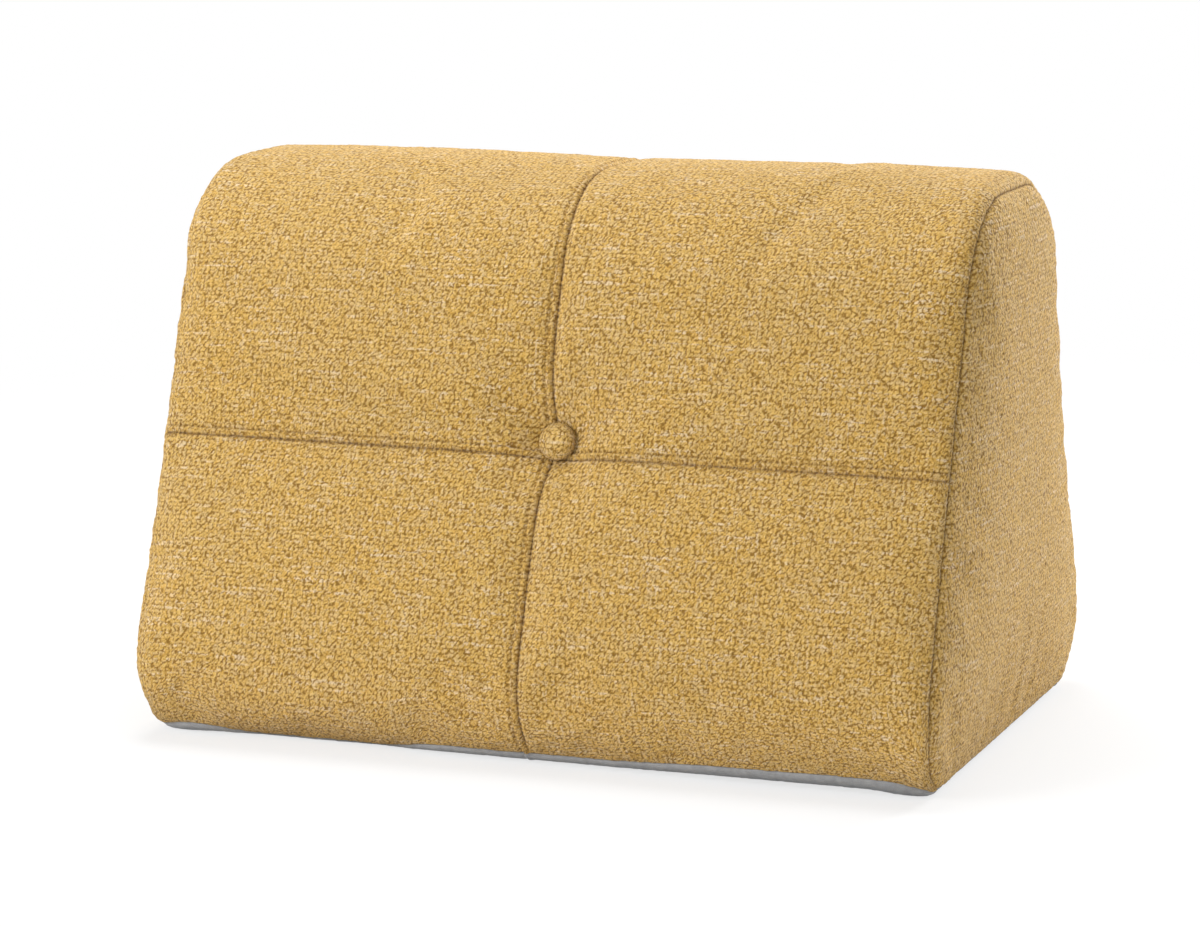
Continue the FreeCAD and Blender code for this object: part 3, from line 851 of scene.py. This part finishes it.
def shrunk(whole, name, inset, thick=None):
    """A closed layer of the filling, that far inside the cover."""
    bm = bmesh.new()
    bm.from_mesh(whole.data)
    bm.normal_update()
    for vert, normal in [(v, v.normal.copy()) for v in bm.verts]:
        vert.co -= normal * inset
    bmesh.ops.holes_fill(bm, edges=[e for e in bm.edges if e.is_boundary], sides=0)
    bmesh.ops.recalc_face_normals(bm, faces=bm.faces[:])
    layer = mesh_object(name, bm)
    if thick:
        wall = layer.modifiers.new("wall", "SOLIDIFY")
        wall.thickness, wall.offset = thick, -1
        applied(layer)
    return layer


BASE_ROLL = ((0.0012, 0.0, 1.25), (0.0012, 0.0, 0.80), (0.0014, 0.25, 0.52), (0.0018, 0.8, 0.25),
             (0.0020, 1.6, 0.08), (0.0020, 2.8, 0.0), (0.030, 2.8, 0.0))


def base_cloth(whole):
    """Bottom cloth: from inside the hem it rolls under and lies flat on the floor.

    Each ring of BASE_ROLL stands in from the hem by a length and by a share of the hem's height,
    at a share of that height.
    """
    bm = bmesh.new()
    bm.from_mesh(whole.data)
    keep = {e for e in bm.edges if e.is_boundary and max(v.co.z for v in e.verts) < 0.03}
    bmesh.ops.delete(bm, geom=bm.faces[:], context="FACES_ONLY")
    bmesh.ops.delete(bm, geom=[e for e in bm.edges if e not in keep], context="EDGES_FACES")
    bmesh.ops.delete(bm, geom=[v for v in bm.verts if not v.link_edges], context="VERTS")
    core = Vector((WIDTH / 2 - 0.075, cad_box[1].y - 0.075))
    root = bm.verts.layers.float_vector.new("root")
    for v in bm.verts:
        v[root] = v.co

    def place(verts, ring):
        length, share, level = ring
        for v in verts:
            hem = v[root]
            inner = Vector((max(-core.x, min(core.x, hem.x)), max(-core.y, min(core.y, hem.y)), hem.z))
            inward = (inner - hem).normalized()
            v.co = hem + inward * (length + share * hem.z)
            v.co.z = hem.z * level

    edges = bm.edges[:]
    place(bm.verts, BASE_ROLL[0])
    for ring in BASE_ROLL[1:]:
        out = bmesh.ops.extrude_edge_only(bm, edges=edges)["geom"]
        place([g for g in out if isinstance(g, bmesh.types.BMVert)], ring)
        edges = [g for g in out if isinstance(g, bmesh.types.BMEdge)]
    bmesh.ops.holes_fill(bm, edges=edges, sides=0)
    bmesh.ops.recalc_face_normals(bm, faces=bm.faces[:])
    if sum(f.normal.z * f.calc_area() for f in bm.faces) > 0:
        bmesh.ops.reverse_faces(bm, faces=bm.faces[:])
    cloth_piece = mesh_object("base_cloth", bm)
    wall = cloth_piece.modifiers.new("wall", "SOLIDIFY")
    wall.thickness, wall.offset = 0.0008, -1
    for face in applied(cloth_piece).data.polygons:
        face.use_smooth = True
    return cloth_piece


def cover_pieces():
    whole = mesh_object("cover_cage", build_cage())
    co = coordinates(whole.data)
    pull = dimple(co)
    set_coordinates(whole.data, co - normals(whole.data) * pull[:, None])
    swell(whole)
    co = coordinates(whole.data)
    places, kinds = cloth_places(whole.data)
    pulled = folds(co) + crease(*places.T) * (kinds < 7)
    set_coordinates(whole.data, co - normals(whole.data) * pulled[:, None])
    lining = shrunk(whole, "lining_bag", 0.0048)
    wadding = shrunk(whole, "wadding_layer", 0.0056, 0.012)
    round_off = whole.modifiers.new("round", "SUBSURF")
    round_off.levels = round_off.render_levels = 2
    applied(whole)
    refine(whole)
    sew(whole)
    base = base_cloth(whole)
    stitches = topstitching(whole)
    inward = whole.data.attributes.new("inward", "FLOAT_VECTOR", "POINT")
    inward.data.foreach_set("vector", (-normals(whole.data)).reshape(-1))
    pieces = {}
    for number, panel in enumerate(PANELS):
        pieces[panel] = part_of(whole, number, "cover_" + panel)
    bpy.data.objects.remove(whole)
    return pieces, lining, wadding, base, stitches


NODES = {"front_lower_left": ["front_lower_panel_left"], "front_lower_right": ["front_lower_panel_right"],
         "upper_left": ["upper_panel_left"], "upper_right": ["upper_panel_right"],
         "back_lower_left": ["back_lower_panel_left"], "back_lower_right": ["back_lower_panel_right"],
         "back_foot": ["back_foot_strip"], "side_left": ["side_panel_left"], "side_right": ["side_panel_right"]}


def finish_piece(piece, body, slot, material, *nodes):
    piece.data.materials.clear()
    piece.data.materials.append(material)
    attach(piece, body)
    if nodes:
        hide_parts(*nodes)
    return piece


cloth = boucle("boucle")
lining_cloth = felted("lining_cloth", rgb(0.84, 0.83, 0.80), rgb(0.70, 0.69, 0.66), 1800.0)
fibre_wadding = felted("fibre_wadding", rgb(0.92, 0.92, 0.91), rgb(0.80, 0.80, 0.79), 500.0)
bottom_cloth = felted("base_cloth", rgb(0.40, 0.405, 0.415), rgb(0.28, 0.285, 0.295), 1500.0)
panels, lining, wadding, base, stitches = cover_pieces()
for panel, piece in panels.items():
    finish_piece(piece, "cushion", "cover_fabric", cloth, *NODES[panel])
finish_piece(lining, "cushion", "lining", lining_cloth, "inner_lining")
finish_piece(wadding, "cushion", "wadding", fibre_wadding, "wadding_wrap")
finish_piece(base, "cushion", "base_cloth", bottom_cloth, "base_panel")
finish_piece(stitches, "cushion", "cover_fabric", twisted("sewing_thread", rgb(0.66, 0.46, 0.15), rgb(0.42, 0.27, 0.07)))


# ---- covered buttons ----
def button_top(side, name):
    """Domed button in cloth, gathered round its rim."""
    bm = bmesh.new()
    segments, rings = 96, 22
    bm.loops.layers.uv.new("cloth")
    bmesh.ops.create_uvsphere(bm, u_segments=segments, v_segments=2 * rings, radius=1)
    at, up, out = slope_frame(side)
    across = np.cross(up, out)
    top, skirt = 0.0110, 0.0036
    uv_layer = bm.loops.layers.uv["cloth"]
    flat = {}
    for v in bm.verts:
        d = v.co.normalized()
        turn = math.atan2(d.y, d.x)
        tilt = math.acos(max(-1.0, min(1.0, d.z)))
        ring = BUTTON_RADIUS * math.sin(tilt) ** 0.86 if d.z >= 0 else BUTTON_RADIUS * math.sin(tilt) ** 0.5
        height = skirt + (top - skirt) * d.z ** 0.95 if d.z >= 0 else skirt * (1 - (-d.z) ** 0.6)
        rim = math.exp(-((height - 0.0018) / 0.0022) ** 2)
        pleat = 0.00035 * rim * (math.sin(turn * 17 + 0.8) + 0.6 * math.sin(turn * 11))
        ring += pleat
        flat[v] = (BUTTON_RADIUS * tilt * math.cos(turn) + 0.5, BUTTON_RADIUS * tilt * math.sin(turn) + 0.5)
        lift = height - DIMPLE_DEPTH
        v.co = Vector(at + across * ring * math.cos(turn) + up * ring * math.sin(turn) + out * lift)
    for face in bm.faces:
        face.smooth = True
        for loop in face.loops:
            loop[uv_layer].uv = flat[loop.vert]
    bmesh.ops.recalc_face_normals(bm, faces=bm.faces[:])
    return mesh_object(name, bm)


for side, place in ((FRONT, "front"), (BACK, "back")):
    button = button_top(side, place + "_button_cloth")
    finish_piece(button, "cushion", "cover_fabric", cloth, place + "_button_fabric")


# ---- zip coils ----
COIL_PITCH = 0.0016


def coil_turns(node, name):
    """Turns of a zip coil, side by side in the space that the coil has."""
    up, out = slope_frame(BACK)[1:]
    axes = np.array([[1.0, 0, 0], up, out])
    local = coordinates(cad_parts[node].data) @ axes.T
    low, size = local.min(0), np.ptp(local, axis=0)
    count = int(size[0] / COIL_PITCH)
    pitch = size[0] / count
    half = size / 2
    half[0] = 0.42 * pitch
    shape = Matrix([list(axis * reach) for axis, reach in zip(axes, half)]).transposed().to_4x4()
    first = low + size * np.array([0.5 / count, 0.5, 0.5])
    bm = bmesh.new()
    place = Matrix.Translation(Vector(first @ axes)) @ shape
    bmesh.ops.create_uvsphere(bm, u_segments=8, v_segments=4, radius=1, matrix=place)
    for face in bm.faces:
        face.smooth = True
    bmesh.ops.recalc_face_normals(bm, faces=bm.faces[:])
    coil = mesh_object(name, bm)
    row = coil.modifiers.new("row", "ARRAY")
    row.count = count
    row.use_relative_offset = False
    row.use_constant_offset = True
    row.constant_offset_displace = (pitch, 0, 0)
    return applied(coil)


coil_nylon = nylon("zip_nylon")
for edge in ("upper", "lower"):
    coil = coil_turns("zip_coil_" + edge, "zip_turns_" + edge)
    finish_piece(coil, "cushion", "zip_coil", coil_nylon, "zip_coil_" + edge)


# ---- finishes of the construction's own pieces ----
def refinish(material, *nodes):
    for node in nodes:
        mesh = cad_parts[node].data
        mesh.materials.clear()
        mesh.materials.append(material)


refinish(foam("cut_foam"), "foam_core")
refinish(metal("bare_steel", rgb(0.62, 0.62, 0.61), rgb(0.40, 0.39, 0.37)), "front_button_shell",
         "front_button_back", "back_button_shell", "back_button_back")
refinish(twisted("waxed_twine", rgb(0.70, 0.62, 0.47), rgb(0.45, 0.38, 0.27)), "tufting_twine")
refinish(plain_weave("zip_tape", rgb(0.50, 0.32, 0.10), rgb(0.33, 0.20, 0.06), 0.0009), "zip_tape_upper",
         "zip_tape_lower")
refinish(metal("coated_metal", rgb(0.52, 0.36, 0.13), rgb(0.30, 0.21, 0.10), 0.3), "zip_stops", "zip_slider",
         "zip_pull")


# ---- camera, light and floor ----
ROOM_LIGHT = 0.48


def seen_directly(tree):
    """1 for what the camera sees itself, in a mirror or through glass."""
    path = tree.nodes.new("ShaderNodeLightPath")
    rays = [Value(tree, path.outputs["Is %s Ray" % kind]) for kind in ("Camera", "Glossy", "Transmission")]
    return rays[0].most(rays[1]).most(rays[2])


def floor_paint():
    """White floor that fades into the white room and keeps the cushion's shadow."""
    f = Finish("floor_paint")
    f.set(Base_Color=rgb(0.88, 0.88, 0.88), Roughness=0.9, Specular_IOR_Level=0.0)
    lit = f.tree.nodes.new("ShaderNodeEmission")
    lit.inputs["Color"].default_value = rgb(1, 1, 1)
    lit.inputs["Strength"].default_value = 1.0
    mix = f.tree.nodes.new("ShaderNodeMixShader")
    away = f.node("VectorMath", {"operation": "LENGTH"}, {0: f.place()}, output=1)
    glow = f.band(away, 0.7, 2.2, FLOOR_GLOW, 1.0)
    put(f.tree, mix.inputs[0], seen_directly(f.tree) * glow)
    f.tree.links.new(f.shader.outputs[0], mix.inputs[1])
    f.tree.links.new(lit.outputs[0], mix.inputs[2])
    f.tree.links.new(mix.outputs[0], f.tree.nodes["Material Output"].inputs["Surface"])
    return f.material


FLOOR_GLOW = 0.72        # how much of the floor's white comes of itself near the cushion
def studio():
    scene = bpy.context.scene
    yaw, pitch, distance = math.radians(20.18), math.radians(10.02), 3.463
    target = Vector((-0.018, 0, 0.216))
    back = Vector((math.sin(yaw) * math.cos(pitch), -math.cos(yaw) * math.cos(pitch), math.sin(pitch)))
    lens = bpy.data.cameras.new("camera")
    lens.lens, lens.sensor_width = 120, 36
    camera = bpy.data.objects.new("camera", lens)
    camera.matrix_world = Matrix.Translation(target + back * distance) @ back.to_track_quat("Z", "Y").to_matrix().to_4x4()
    scene.collection.objects.link(camera)
    scene.camera = camera

    def lamp(name, place, aim, size, power, colour=(1, 1, 1)):
        light = bpy.data.lights.new(name, "AREA")
        light.shape, light.size, light.energy, light.color = "DISK", size, power, colour
        holder = bpy.data.objects.new(name, light)
        away = Vector(place) - Vector(aim)
        holder.matrix_world = Matrix.Translation(Vector(place)) @ away.to_track_quat("Z", "Y").to_matrix().to_4x4()
        scene.collection.objects.link(holder)

    lamp("key", (-1.7, -2.3, 1.3), (0, 0, 0.2), 1.3, 52)
    lamp("top", (-0.3, 0.3, 2.6), (0, 0, 0.3), 1.6, 50)
    lamp("right", (1.3, 2.6, 1.2), (0, 0, 0.25), 1.0, 92)
    world = bpy.data.worlds.new("room")
    world.use_nodes = True
    scene.world = world
    seen = seen_directly(world.node_tree)
    background = world.node_tree.nodes["Background"]
    background.inputs["Color"].default_value = (1, 1, 1, 1)
    strength = world.node_tree.nodes.new("ShaderNodeMapRange")
    put(world.node_tree, strength.inputs["Value"], seen)
    strength.inputs["To Min"].default_value = ROOM_LIGHT
    strength.inputs["To Max"].default_value = 1.0
    world.node_tree.links.new(strength.outputs[0], background.inputs["Strength"])
    bm = bmesh.new()
    bmesh.ops.create_grid(bm, x_segments=1, y_segments=1, size=12)
    floor = mesh_object("floor", bm)
    floor.data.materials.append(floor_paint())
    scene.view_settings.view_transform = "Standard"


studio()
